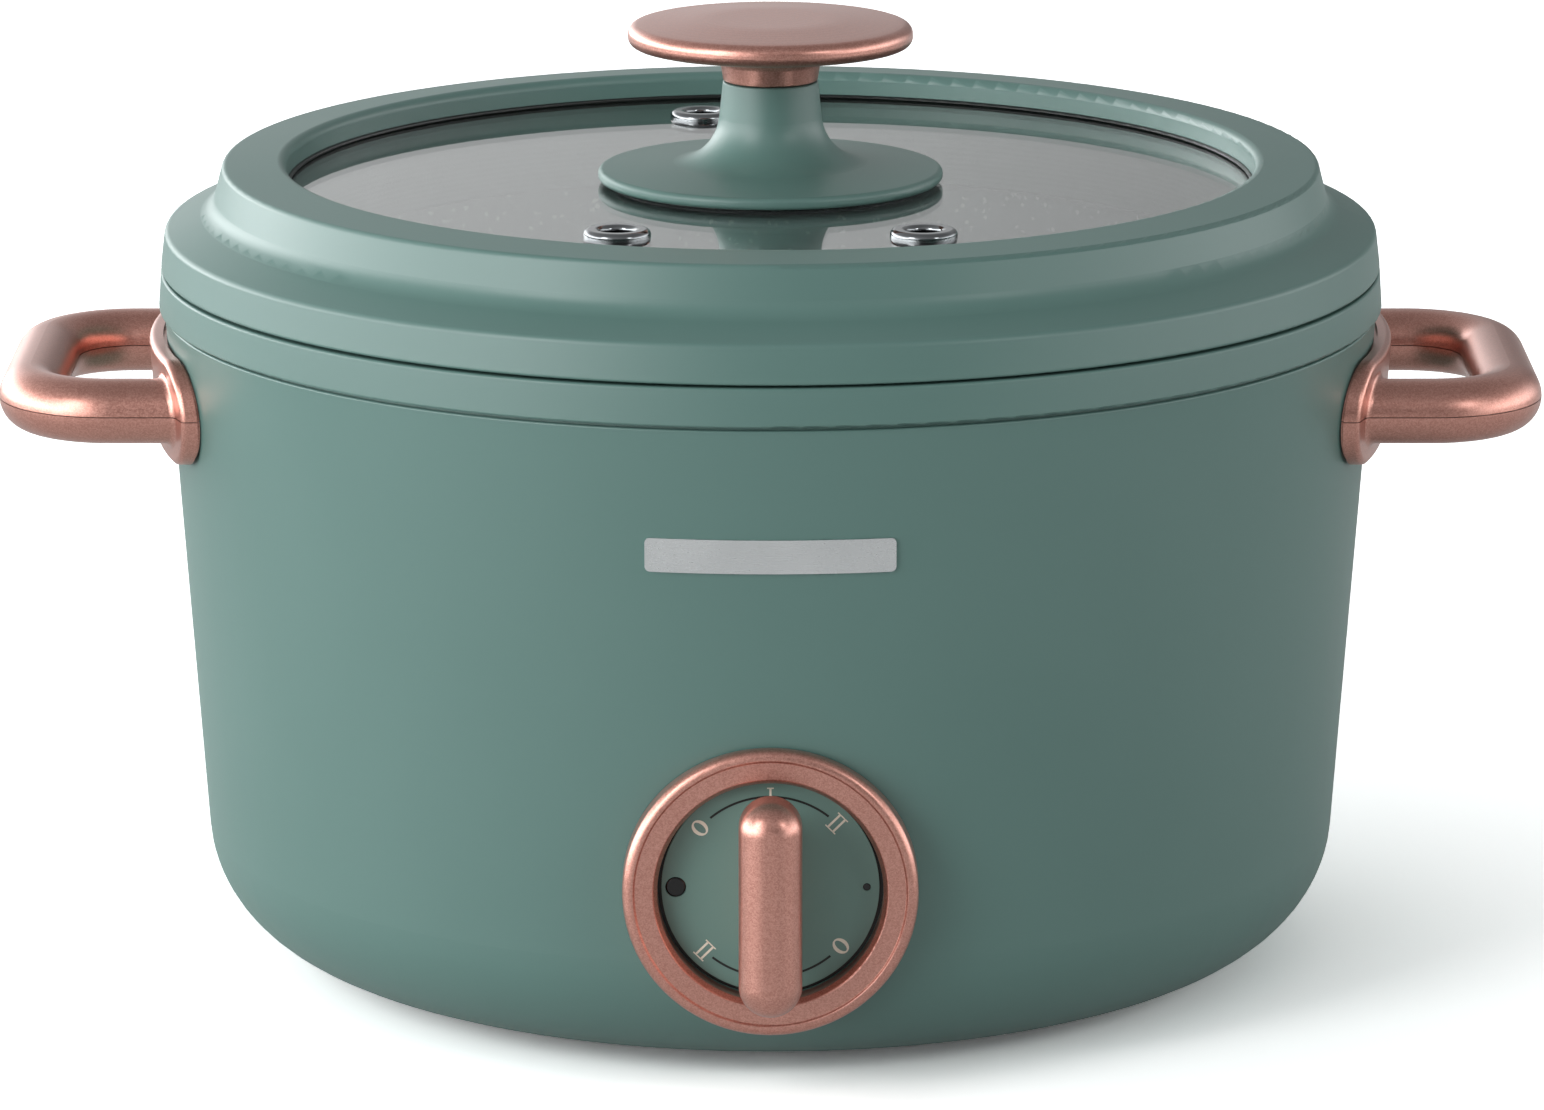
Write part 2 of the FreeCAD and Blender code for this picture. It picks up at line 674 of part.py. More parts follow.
def handle_whole():
    """Right handle before it is parted: a bent tube that grows out of a curved plate."""
    outline = rectangle(0, HANDLE_Z, HANDLE_PLATE_HALF_Y, HANDLE_PLATE_HALF_Z, HANDLE_PLATE_HALF_Z)
    plate = prism(outline, "X", 110, 160).common(housing_filled(-HANDLE_PLATE_THICK))
    plate = plate.cut(housing_filled(-SHADOW_GAP))
    rim = []
    for edge in plate.Edges:
        radii = [math.hypot(v.X, v.Y) - housing_radius(v.Z) for v in edge.Vertexes]
        if min(radii) > HANDLE_PLATE_THICK - 0.5:
            rim.append(edge)
    plate = plate.makeFillet(1.5, rim)
    bends = [0, HANDLE_BEND_R, HANDLE_BEND_R, 0]

    def loop(start_x, radius):
        corners = [
            Vector(start_x, -LEG_Y, HANDLE_Z),
            Vector(HANDLE_BAR_X, -LEG_Y, HANDLE_Z),
            Vector(HANDLE_BAR_X, LEG_Y, HANDLE_Z),
            Vector(start_x, LEG_Y, HANDLE_Z),
        ]
        return tube_run(corners, bends, radius)

    pad_half_z = HANDLE_PLATE_HALF_Z - 1.2
    pad = prism(rectangle(0, HANDLE_Z, HANDLE_PLATE_HALF_Y - 1.2, pad_half_z, pad_half_z), "X", 110, 160)
    pad = pad.common(housing_filled(-2)).cut(housing_filled(0))
    whole = plate.fuse(pad).fuse(loop(125, TUBE_R).cut(housing_filled(0)))
    roots = []
    for edge in whole.Edges:
        off_axis = [abs(math.hypot(abs(v.Y) - LEG_Y, v.Z - HANDLE_Z) - TUBE_R) for v in edge.Vertexes]
        rise = [math.hypot(v.X, v.Y) - housing_radius(v.Z) for v in edge.Vertexes]
        on_plate = HANDLE_PLATE_THICK - 1 < min(rise) and max(rise) < HANDLE_PLATE_THICK + 0.5
        if max(off_axis) < 0.01 and on_plate:
            roots.append(edge)
    whole = whole.makeFillet(1.6, roots)
    tools = [loop(150, TUBE_BORE_R)]
    for y, z in handle_screw_places():
        tools.append(rod(120, y, z, 1.5 + DRILL_FIT, 25.4, X))
    return cut_all(whole, tools)


def handle_halves():
    """Upper and lower moulding of the right handle."""
    whole = handle_whole()
    halves = []
    for low in (HANDLE_Z + PARTING_GAP / 2, HANDLE_Z - PARTING_GAP / 2 - 20):
        halves.append(whole.common(Part.makeBox(100, 140, 20, Vector(100, -70, low))))
    return halves


def handle_backing():
    outline = rectangle(0, HANDLE_Z - 0.5, 28, 9.3, 3)
    strip = prism(outline, "X", 110, 160).common(housing_filled(WALL)).cut(housing_filled(WALL + 1.5))
    return cut_all(strip, [rod(120, y, z, 1.6, 30, X) for y, z in handle_screw_places()])


def handle_screws():
    solids = []
    for y, z in handle_screw_places():
        x = math.sqrt((housing_radius(z) - WALL - 1.5) ** 2 - y ** 2) - 0.9
        solids.append(screw(x, y, z, 1.5, 145.0 - x, 2.9, 1.8, X))
    return group(solids)


# ---------------------------------------------------------------- power inlet

def power_inlet():
    flange = prism(rectangle(0, INLET_Z, 25, 13, 6), "Y", 125, INLET_FRONT_Y).cut(housing_filled(0))
    body = prism(rectangle(0, INLET_Z, 15, 11, 2.8), "Y", INLET_BACK_Y, INLET_FRONT_Y - 1)
    cavity = [
        (-12.3, INLET_Z - 8.3, 1),
        (12.3, INLET_Z - 8.3, 1),
        (12.3, INLET_Z + 4.0, 1),
        (8.3, INLET_Z + 8.3, 1),
        (-8.3, INLET_Z + 8.3, 1),
        (-12.3, INLET_Z + 4.0, 1),
    ]
    tools = [prism(cavity, "Y", INLET_BACK_Y + 4.5, INLET_FRONT_Y + 1)]
    for side in (1, -1):
        tools.append(rod(side * INLET_SCREW_X, 120, INLET_Z, 1.7, 30, Y))
        tools.append(rod(side * INLET_SCREW_X, INLET_FRONT_Y - 1.9, INLET_Z, 3.1, 5, Y))
    for x, z in inlet_pin_places():
        tools.append(prism(rectangle(x, z, 1.0, 2.0), "Y", 110, 130))
    return cut_all(flange.fuse(body), tools)


def inlet_pin_places():
    """(x, z) of the three blades: live, neutral and the earth blade between them."""
    return [(-7.0, INLET_Z - 2.0), (7.0, INLET_Z - 2.0), (0.0, INLET_Z + 2.5)]


def inlet_pins():
    pins = []
    for x, z in inlet_pin_places():
        blade = prism(rectangle(x, z, 1.0, 2.0, 0.3), "Y", INLET_BACK_Y - 3, INLET_FRONT_Y - 2.5)
        tail = prism(rectangle(x, INLET_BACK_Y - 2.2, 1.0, 0.8), "Z", INLET_Z - 16, z + 2)
        pins.append(blade.fuse(tail))
    return group(pins)


def inlet_screws():
    seat = INLET_FRONT_Y - 1.9
    return group([screw(side * INLET_SCREW_X, seat, INLET_Z, 1.5, 9.5, 2.9, 1.7, -Y) for side in (1, -1)])


# ---------------------------------------------------------------- base

def base_cover():
    disc = turned([
        (0, FOOT_HEIGHT),
        (COVER_R, FOOT_HEIGHT, 0.8),
        (COVER_R, FLANGE_Z),
        (0, FLANGE_Z),
    ])
    holes = [rod(x, y, 0, 1.6, 20) for x, y in spots(4, BASE_SCREW_R, 0)]
    holes += [rod(x, y, 0, 4.0, 20) for x, y in spots(4, FOOT_RING_R, 45)]
    for bank in (-1, 1):
        for index in range(-3, 4):
            slot = rectangle(index * 9.0, bank * 34.0, 2.0, 17.0, 1.9)
            holes.append(prism(slot, "Z", 0, 20))
    return cut_all(disc, holes)


def base_screws():
    return group([screw(x, y, FOOT_HEIGHT, 1.5, 10.5, 2.7, 1.6, Z) for x, y in spots(4, BASE_SCREW_R, 0)])


def rubber_feet():
    """Four feet, each with a barbed plug that holds in the base cover."""
    foot = turned([
        (0, 0),
        (10.5, 0, 1.5),
        (9.6, FOOT_HEIGHT),
        (3.95, FOOT_HEIGHT),
        (3.95, FLANGE_Z + 0.05),
        (5.4, FLANGE_Z + 0.05, 0.4),
        (4.2, 9.6, 0.6),
        (0, 9.6),
    ])
    return group([foot.translated(Vector(x, y, 0)) for x, y in spots(4, FOOT_RING_R, 45)])


# ---------------------------------------------------------------- wiring

def wire_run(points):
    """Insulated wire through the points, each bend as large as its two runs allow."""
    corners = [Vector(*point) for point in points]
    bends = [0]
    for before, corner, after in zip(corners, corners[1:], corners[2:]):
        turn = math.pi - (before - corner).getAngle(after - corner)
        shorter = min((before - corner).Length, (after - corner).Length)
        bends.append(0.45 * shorter / math.tan(turn / 2))
    return tube_run(corners, bends + [0], WIRE_R)


def wires():
    tail_z = INLET_Z - 16
    tail_y = INLET_BACK_Y - 2.2
    tab_z = DIAL_Z - 20
    (right_end, end_y), (left_end, _) = element_ends()
    floor = WIRE_FLOOR_Z
    return {
        "wire_live": wire_run([
            (-7, tail_y, tail_z), (-7, tail_y, floor), (-16, 92, floor - 3), (-38, 46, floor),
            (-44, 0, floor - 2), (-38, -50, floor), (-18, -92, floor - 2), (-7, -121, floor - 1),
            (-7, -121, tab_z),
        ]),
        "wire_neutral": wire_run([
            (7, tail_y, tail_z), (7, tail_y, floor), (17, 92, floor - 4), (20, 66, 16),
            (right_end, end_y, 15), (right_end, end_y, 26),
        ]),
        "wire_switched": wire_run([
            (7, -121, tab_z), (7, -121, floor - 1), (18, -92, floor - 2), (34, -50, floor),
            (34, -12, floor - 2), (16, 16, floor), (-6, 30, 17), (left_end, end_y, 15), (left_end, end_y, 26),
        ]),
        "wire_earth": wire_run([
            (0, tail_y, tail_z), (0, tail_y, floor + 1), (4, 96, floor - 3), (3, 76, floor),
            (0, 68, 24), (0, 68, LINER_FLOOR_Z - 2.4),
        ]),
    }


def earth_tag():
    """Ring tag and nut under the liner floor that the earth wire ends on."""
    top = LINER_FLOOR_Z
    tag = turned([(0, top), (4.5, top), (4.5, top - 0.8), (2.6, top - 0.8), (2.6, top - 2.4), (0, top - 2.4)])
    tag.translate(Vector(0, 68, 0))
    return tag


# ---------------------------------------------------------------- pot and lid

def inner_pot():
    return turned([
        (0, POT_BOTTOM_Z),
        (POT_BOTTOM_R, POT_BOTTOM_Z, POT_BASE_ROUND),
        (POT_NECK_R, POT_FLANGE_Z, 2.0),
        (POT_FLANGE_R, POT_FLANGE_Z, 1.0),
        (POT_FLANGE_R, POT_TOP_Z, 1.0),
        (POT_NECK_R - POT_WALL, POT_TOP_Z, 3.0),
        (POT_BOTTOM_R - POT_WALL, POT_BOTTOM_Z + POT_WALL, POT_BASE_ROUND - POT_WALL),
        (0, POT_BOTTOM_Z + POT_WALL),
    ])


def lid_rim():
    rim = turned([
        (145.0, RIM_BOTTOM_Z, 0.6),
        (143.9, 176.7, 1.6),
        (132.8, 181.5, 6.0),
        (130.1, 192.0, 1.3),
        (RIM_BORE_R, RIM_TOP_Z, 2.0),
        (RIM_BORE_R, GASKET_Z + GASKET_THICK),
        (RIM_POCKET_R, GASKET_Z + GASKET_THICK),
        (RIM_POCKET_R, 176.2),
        (131.5, 176.2, 1.5),
        (140.6, 173.6, 2.0),
        (141.8, RIM_BOTTOM_Z),
    ])
    return cut_all(rim, [rod(x, y, 170, 1.3 + DRILL_FIT, 13) for x, y in spots(6, RING_SCREW_R, 0)])


def glass_gasket():
    return turned([
        (114.2, GASKET_Z, 0.4),
        (125.8, GASKET_Z),
        (125.8, GASKET_Z + GASKET_THICK),
        (114.2, GASKET_Z + GASKET_THICK, 0.4),
    ])


def vent_places():
    """(x, y) of the two front steam vents and the rear one."""
    return [(-VENT_FRONT_X, VENT_FRONT_Y), (VENT_FRONT_X, VENT_FRONT_Y), (VENT_REAR_X, VENT_REAR_Y)]


def lid_glass():
    pane = turned([
        (0, GLASS_BOTTOM_Z),
        (GLASS_R, GLASS_BOTTOM_Z, 0.8),
        (GLASS_R, GASKET_Z, 0.8),
        (0, GASKET_Z),
    ])
    holes = [rod(x, y, 180, VENT_BARREL_R + DRILL_FIT, 10) for x, y in vent_places()]
    holes.append(rod(0, 0, 180, 3.2, 10))
    return cut_all(pane, holes)


def lid_inner_ring():
    ring = turned([
        (113.5, GLASS_BOTTOM_Z, 0.3),
        (113.5, 162.0, 0.8),
        (116.0, 162.0, 0.8),
        (116.0, 179.6),
        (122.6, 179.6),
        (122.6, POT_TOP_Z + SLIDE_GAP, 0.5),
        (125.6, POT_TOP_Z + SLIDE_GAP, 0.5),
        (125.6, 173.0),
        (131.0, 173.0, 0.5),
        (131.0, 176.2),
        (125.7, 176.2),
        (125.7, GLASS_BOTTOM_Z),
    ])
    return cut_all(ring, [rod(x, y, 170, 1.5, 10) for x, y in spots(6, RING_SCREW_R, 0)])


def lid_ring_screws():
    return group([screw(x, y, 173.0, 1.3, 9, 2.3, 1.6, Z) for x, y in spots(6, RING_SCREW_R, 0)])


def vent_eyelets():
    """Rolled eyelets, each clamping the glass between its two flanges."""
    eyelet = turned([
        (4.0, GLASS_BOTTOM_Z - 1.3, 0.5),
        (7.0, GLASS_BOTTOM_Z - 1.3, 0.5),
        (7.0, GLASS_BOTTOM_Z),
        (VENT_BARREL_R, GLASS_BOTTOM_Z),
        (VENT_BARREL_R, GASKET_Z),
        (7.8, GASKET_Z),
        (7.8, GASKET_Z + 1.8, 1.3),
        (4.0, GASKET_Z + 1.8, 1.2),
    ])
    return group([eyelet.translated(Vector(x, y, 0)) for x, y in vent_places()])


def knob_gasket():
    low = GASKET_Z
    return turned([(10, low), (38, low, 0.3), (38, KNOB_BASE_Z, 0.3), (10, KNOB_BASE_Z)])


def knob_base():
    return turned([
        (2.6, KNOB_BASE_Z),
        (KNOB_BASE_R, KNOB_BASE_Z, 1.2),
        (KNOB_BASE_R, 189.9, 1.3),
        (13.2, 192.2, 12.0),
        (KNOB_NECK_R, KNOB_SEAM_Z, 0.4),
        (8.9, KNOB_SEAM_Z),
        (8.9, KNOB_SEAM_Z + 2.0),
        (2.6, KNOB_SEAM_Z + 2.0),
    ])


def knob_cap():
    return turned([
        (0, 219.5),
        (2.45, 219.5),
        (2.45, KNOB_SEAM_Z + 2.3),
        (9.0, KNOB_SEAM_Z + 2.3),
        (9.0, KNOB_CAP_Z),
        (KNOB_NECK_R - 0.1, KNOB_CAP_Z, 0.4),
        (12.2, 217.0, 3.0),
        (33.8, 219.6, 2.1),
        (33.8, 224.3, 2.4),
        (30.4, 224.7, 3.0),
        (16.0, KNOB_TOP_Z, 90.0),
        (0, KNOB_TOP_Z),
    ])


def knob_screw():
    return screw(0, 0, GLASS_BOTTOM_Z - 1.0, 2.4, 37, 5.2, 3.0, Z)


def knob_washer():
    low = GLASS_BOTTOM_Z - 1.0
    return turned([(2.6, low), (9, low, 0.3), (9, GLASS_BOTTOM_Z), (2.6, GLASS_BOTTOM_Z)])


def nodes():
    """Every node's name and shape."""
    element = heating_element()
    right_upper, right_lower = handle_halves()
    backing = handle_backing()
    right_screws = handle_screws()
    shapes = {
        "outer_housing": outer_housing(),
        "top_collar": top_collar(),
        "heat_liner": heat_liner(),
        "liner_screws": liner_screws(),
        "heating_element": element,
        "heating_plate": heating_plate(element),
        "plate_standoffs": plate_standoffs(),
        "plate_screws": plate_screws(),
        "thermostat_housing": thermostat_housing(),
        "probe_spring": probe_spring(),
        "probe_cap": probe_cap(),
        "probe_stem": probe_stem(),
        "thermal_fuse": thermal_fuse(),
        "fuse_clip": fuse_clip(),
        "dial_bezel": dial_bezel(),
        "dial_face": dial_face(),
        "lamp_lens_large": lamp_lens(LARGE_LAMP_X, LARGE_LAMP_R),
        "lamp_lens_small": lamp_lens(SMALL_LAMP_X, SMALL_LAMP_R),
        "lamp_board": lamp_board(),
        "lamp_leds": lamp_leds(),
        "switch_body": switch_body(),
        "switch_cover": switch_cover(),
        "switch_contacts": switch_contacts(),
        "switch_screws": switch_screws(),
        "switch_shaft": switch_shaft(),
        "switch_cam": switch_cam(),
        "control_knob": control_knob(),
        "front_badge": badge(),
        "handle_right_upper": right_upper,
        "handle_right_lower": right_lower,
        "handle_left_upper": mirrored(right_upper),
        "handle_left_lower": mirrored(right_lower),
        "handle_backing_plates": group([backing, mirrored(backing)]),
        "handle_screws": group(right_screws.Solids + mirrored(right_screws).Solids),
        "power_inlet": power_inlet(),
        "inlet_pins": inlet_pins(),
        "inlet_screws": inlet_screws(),
        "base_cover": base_cover(),
        "base_screws": base_screws(),
        "rubber_feet": rubber_feet(),
        "earth_tag": earth_tag(),
        "inner_pot": inner_pot(),
        "lid_rim": lid_rim(),
        "glass_gasket": glass_gasket(),
        "lid_glass": lid_glass(),
        "lid_inner_ring": lid_inner_ring(),
        "vent_eyelets": vent_eyelets(),
        "lid_ring_screws": lid_ring_screws(),
        "knob_gasket": knob_gasket(),
        "knob_base": knob_base(),
        "knob_cap": knob_cap(),
        "knob_screw": knob_screw(),
        "knob_washer": knob_washer(),
    }
    shapes.update(wires())
    return shapes


os.makedirs("parts", exist_ok=True)
for name, shape in nodes().items():
    shape.exportStep(os.path.join("parts", name + ".step"))
    print(f"{name}: {len(shape.Solids)} solid(s), {shape.Volume / 1000:.2f} cm3, valid {shape.isValid()}")
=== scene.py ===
"""Looks of a four litre slow cooker: every finish of its pieces, the printed dial marks, a pale studio
floor, soft lamps and the camera. Metres, +Z up, the dial faces -Y."""

import math

import bmesh
import bpy
from mathutils import Matrix, Vector


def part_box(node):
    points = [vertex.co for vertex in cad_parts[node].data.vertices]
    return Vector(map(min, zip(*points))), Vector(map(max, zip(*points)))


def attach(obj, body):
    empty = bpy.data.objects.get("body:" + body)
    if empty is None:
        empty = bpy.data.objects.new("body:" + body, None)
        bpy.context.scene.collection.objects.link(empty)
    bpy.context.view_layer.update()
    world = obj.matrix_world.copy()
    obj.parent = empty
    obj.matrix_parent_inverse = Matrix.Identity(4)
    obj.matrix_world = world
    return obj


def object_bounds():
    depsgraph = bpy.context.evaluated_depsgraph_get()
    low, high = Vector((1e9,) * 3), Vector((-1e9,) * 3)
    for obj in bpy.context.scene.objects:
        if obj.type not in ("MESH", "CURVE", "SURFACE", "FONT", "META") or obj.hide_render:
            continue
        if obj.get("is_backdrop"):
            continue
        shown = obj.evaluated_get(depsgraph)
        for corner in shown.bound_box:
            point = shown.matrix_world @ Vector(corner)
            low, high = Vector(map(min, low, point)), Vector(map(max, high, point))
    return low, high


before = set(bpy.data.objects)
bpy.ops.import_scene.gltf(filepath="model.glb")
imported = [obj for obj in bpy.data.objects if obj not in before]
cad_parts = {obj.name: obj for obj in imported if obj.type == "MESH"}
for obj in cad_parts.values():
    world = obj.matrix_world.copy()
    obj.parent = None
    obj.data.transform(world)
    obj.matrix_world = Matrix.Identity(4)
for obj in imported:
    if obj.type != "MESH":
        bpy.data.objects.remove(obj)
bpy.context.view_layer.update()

MM = 0.001

# Dial print: angles are clockwise from the top of the dial, radii and sizes in millimetres.
MARK_ANGLES = {"off": -49.0, "one": 0.0, "two": 45.0}
MARK_RADIUS = 21.0
MARK_HEIGHT = 4.0
ARC_START = -40.0
ARC_END = 38.5
ARC_WIDTH = 0.5
INK_THICKNESS = 0.06
# The groove line is painted shade: black laid in the groove's bottom where shade falls between the bezel lip and the
# face.
GROOVE_INNER = 24.5
GROOVE_OUTER = 25.4
GROOVE_DEPTH = 1.0

# Camera: a long lens in front of the dial, a little above the lid.
CAMERA_DISTANCE = 1.811
CAMERA_ABOVE_COLLAR = 0.359
CAMERA_PITCH_DEG = 13.41
LENS_MM = 180.3
SENSOR_MM = 36.0
LENS_SHIFT_X = 0.001

# Light tent: heights (sine of the elevation) and how bright it is there. TENT_RIGHT is the share that is
# left on the right side. Then come the strengths of the left wall, the right edge and the glow at the back.
TENT_HEIGHTS = (0.0, 0.26, 0.5, 0.75, 1.0)
TENT_LEVELS = (0.12, 0.22, 0.62, 0.45, 0.35)
TENT_RIGHT = 0.6
TENT_WALL = 6.4
TENT_RIM = 3.0
TENT_BACK = 0.9

# Directions over which each part of the tent fades, as cosines along X, Y and Z.
WALL_FADE = (-0.2, -0.75)
RIM_FADE = (0.6, 0.95)
BACK_FADE = (0.3, 0.9)
BACK_LEFT_FADE = (-0.15, 0.15)
BACK_LEFT_LEVELS = (1.0, 0.15)
LOW_FADE = (0.15, 0.5)
RIGHT_FADE = (-0.5, 0.6)

# Soft boxes: place in metres, size in metres, power in watts.
KEY_BOX = ((-1.5, -1.5, 1.3), (0.8, 0.8), 11.0)
FILL_BOX = ((1.5, -1.5, 1.2), (0.5, 0.5), 4.5)

# How much brighter the floor is to the lens, and in reflections, than it is as a light.
FLOOR_GAIN = 3.5
FLOOR_SHEEN = 1.35
FLOOR_HALF_SIZE = 6.0
EXPOSURE = 0.12


def linear(hex_colour):
    """Scene-linear RGBA of an sRGB hex colour."""
    channels = [int(hex_colour[start:start + 2], 16) / 255 for start in (0, 2, 4)]
    return [c / 12.92 if c <= 0.04045 else ((c + 0.055) / 1.055) ** 2.4 for c in channels] + [1.0]


def per_mm(size):
    """Pattern scale that repeats about once in size millimetres."""
    return 1.0 / (size * MM)


def add(tree, kind, feeds=None, **settings):
    """One shader node, with its settings made and its sockets given values or links."""
    made = tree.nodes.new("ShaderNode" + kind)
    for name, value in settings.items():
        setattr(made, name, value)
    for name, value in (feeds or {}).items():
        if isinstance(value, bpy.types.NodeSocket):
            tree.links.new(value, made.inputs[name])
        else:
            made.inputs[name].default_value = value
    return made


def start(name, **sockets):
    """A material with a Principled shader on its output; returns it, its tree and the shader."""
    material = bpy.data.materials.new(name)
    material.use_nodes = True
    tree = material.node_tree
    tree.nodes.clear()
    shader = add(tree, "BsdfPrincipled", {key.replace("_", " "): value for key, value in sockets.items()})
    add(tree, "OutputMaterial", {"Surface": shader.outputs["BSDF"]})
    return material, tree, shader


# ---------------------------------------------------------------- plastics and rubber

def moulded_polypropylene(name, dark, light):
    """Grey-green polypropylene from a finely spark-eroded tool: a broad satin sheen, a grain that is only
    just there, and slow drifts of gloss and tone where the melt met the tool."""
    material, tree, shader = start(name, IOR=1.55)
    place = add(tree, "TexCoord").outputs["Object"]
    flow = add(tree, "TexNoise", {"Vector": place, "Scale": per_mm(60), "Detail": 2.0}).outputs["Fac"]
    tone = add(tree, "MixRGB", {"Fac": flow, "Color1": linear(dark), "Color2": linear(light)})
    gloss = add(tree, "MapRange", {"Value": flow, "To Min": 0.36, "To Max": 0.44})
    grain = add(tree, "TexNoise", {"Vector": place, "Scale": per_mm(0.5), "Detail": 2.0})
    relief = add(tree, "Bump", {"Height": grain.outputs["Fac"], "Strength": 0.35, "Distance": 0.006 * MM})
    tree.links.new(tone.outputs["Color"], shader.inputs["Base Color"])
    tree.links.new(gloss.outputs["Result"], shader.inputs["Roughness"])
    tree.links.new(relief.outputs["Normal"], shader.inputs["Normal"])
    return material


def moulded_part(name, dark, light, rough, grain_mm, relief_mm, ior=1.5):
    """A plain engineering plastic or rubber straight from the tool: two close tones that drift over it,
    its own gloss, and the tool's grain in low relief."""
    material, tree, shader = start(name, Roughness=rough, IOR=ior)
    place = add(tree, "TexCoord").outputs["Object"]
    drift = add(tree, "TexNoise", {"Vector": place, "Scale": per_mm(14), "Detail": 3.0}).outputs["Fac"]
    tone = add(tree, "MixRGB", {"Fac": drift, "Color1": linear(dark), "Color2": linear(light)})
    grain = add(tree, "TexVoronoi", {"Vector": place, "Scale": per_mm(grain_mm)})
    relief = add(tree, "Bump", {"Height": grain.outputs["Distance"], "Strength": 0.6, "Distance": relief_mm * MM})
    gloss = add(tree, "MapRange", {"Value": drift, "To Min": rough - 0.05, "To Max": rough + 0.05})
    tree.links.new(tone.outputs["Color"], shader.inputs["Base Color"])
    tree.links.new(gloss.outputs["Result"], shader.inputs["Roughness"])
    tree.links.new(relief.outputs["Normal"], shader.inputs["Normal"])
    return material


def ribbed_nylon():
    """Charcoal nylon from a lathe-turned tool: a soft sheen broken by fine level rings all the way up."""
    material, tree, shader = start("moulded nylon, charcoal, ringed", Roughness=0.38, IOR=1.53)
    place = add(tree, "TexCoord").outputs["Object"]
    drift = add(tree, "TexNoise", {"Vector": place, "Scale": per_mm(25), "Detail": 2.0}).outputs["Fac"]
    # The wave node repeats each pi / 10 of its scale; one ring each 1.3 mm.
    rings = add(tree, "TexWave", {"Vector": place, "Scale": per_mm(1.3) * math.pi / 10}, bands_direction="Z")
    tone = add(tree, "MixRGB", {"Fac": drift, "Color1": linear("3d4140"), "Color2": linear("4a4f4e")})
    relief = add(tree, "Bump", {"Height": rings.outputs["Fac"], "Strength": 0.5, "Distance": 0.04 * MM})
    tree.links.new(tone.outputs["Color"], shader.inputs["Base Color"])
    tree.links.new(relief.outputs["Normal"], shader.inputs["Normal"])
    return material


# ---------------------------------------------------------------- lacquer and metals

def rose_copper_lacquer(turned=False):
    """Metallic rose copper lacquer sprayed on moulded plastic: fine flakes that break up the highlights.
    The lid knob's cap also keeps the faint rings that its turned tool left."""
    name = "rose copper lacquer, turned" if turned else "rose copper lacquer, sprayed"
    material, tree, shader = start(name, Metallic=0.92, Coat_Weight=0.5, Coat_Roughness=0.25)
    place = add(tree, "TexCoord").outputs["Object"]
    # Real flakes are 0.03 mm; these are 0.28 mm so that they show.
    flakes = add(tree, "TexVoronoi", {"Vector": place, "Scale": per_mm(0.28)})
    shade = add(tree, "SeparateColor", {"Color": flakes.outputs["Color"]}).outputs["Red"]
    tone = add(tree, "MixRGB", {"Fac": shade, "Color1": linear("b98072"), "Color2": linear("d09a8c")})
    gloss = add(tree, "MapRange", {"Value": shade, "To Min": 0.30, "To Max": 0.40})
    relief = add(tree, "Bump", {"Height": shade, "Strength": 0.35, "Distance": 0.012 * MM})
    if turned:
        split = add(tree, "SeparateXYZ", {"Vector": place})
        squares = [add(tree, "Math", {0: split.outputs[axis], 1: 2.0}, operation="POWER") for axis in "XY"]
        total = add(tree, "Math", {0: squares[0].outputs[0], 1: squares[1].outputs[0]})
        radius = add(tree, "Math", {0: total.outputs[0]}, operation="SQRT").outputs[0]
        # One ring each 2.2 mm.
        turns = add(tree, "Math", {0: radius, 1: 2 * math.pi * per_mm(2.2)}, operation="MULTIPLY")
        rings = add(tree, "Math", {0: turns.outputs[0]}, operation="SINE").outputs[0]
        relief = add(tree, "Bump", {
            "Height": rings, "Strength": 0.25, "Distance": 0.02 * MM, "Normal": relief.outputs["Normal"],
        })
    tree.links.new(tone.outputs["Color"], shader.inputs["Base Color"])
    tree.links.new(gloss.outputs["Result"], shader.inputs["Roughness"])
    tree.links.new(relief.outputs["Normal"], shader.inputs["Normal"])
    return material


def drawn_metal(name, dark, light, rough, line_mm, stretch):
    """Bare metal with the fine lines of how it was made: long scratches along one axis, or an even cast
    skin when the lines aren't stretched."""
    material, tree, shader = start(name, Metallic=1.0)
    place = add(tree, "TexCoord").outputs["Object"]
    scaled = add(tree, "Mapping", {"Vector": place, "Scale": stretch})
    lines = add(tree, "TexNoise", {"Vector": scaled.outputs[0], "Scale": per_mm(line_mm), "Detail": 3.0})
    worn = add(tree, "TexNoise", {"Vector": place, "Scale": per_mm(18), "Detail": 3.0}).outputs["Fac"]
    tone = add(tree, "MixRGB", {"Fac": worn, "Color1": linear(dark), "Color2": linear(light)})
    gloss = add(tree, "MapRange", {"Value": lines.outputs["Fac"], "To Min": rough - 0.08, "To Max": rough + 0.08})
    relief = add(tree, "Bump", {"Height": lines.outputs["Fac"], "Strength": 0.4, "Distance": 0.01 * MM})
    tree.links.new(tone.outputs["Color"], shader.inputs["Base Color"])
    tree.links.new(gloss.outputs["Result"], shader.inputs["Roughness"])
    tree.links.new(relief.outputs["Normal"], shader.inputs["Normal"])
    return material


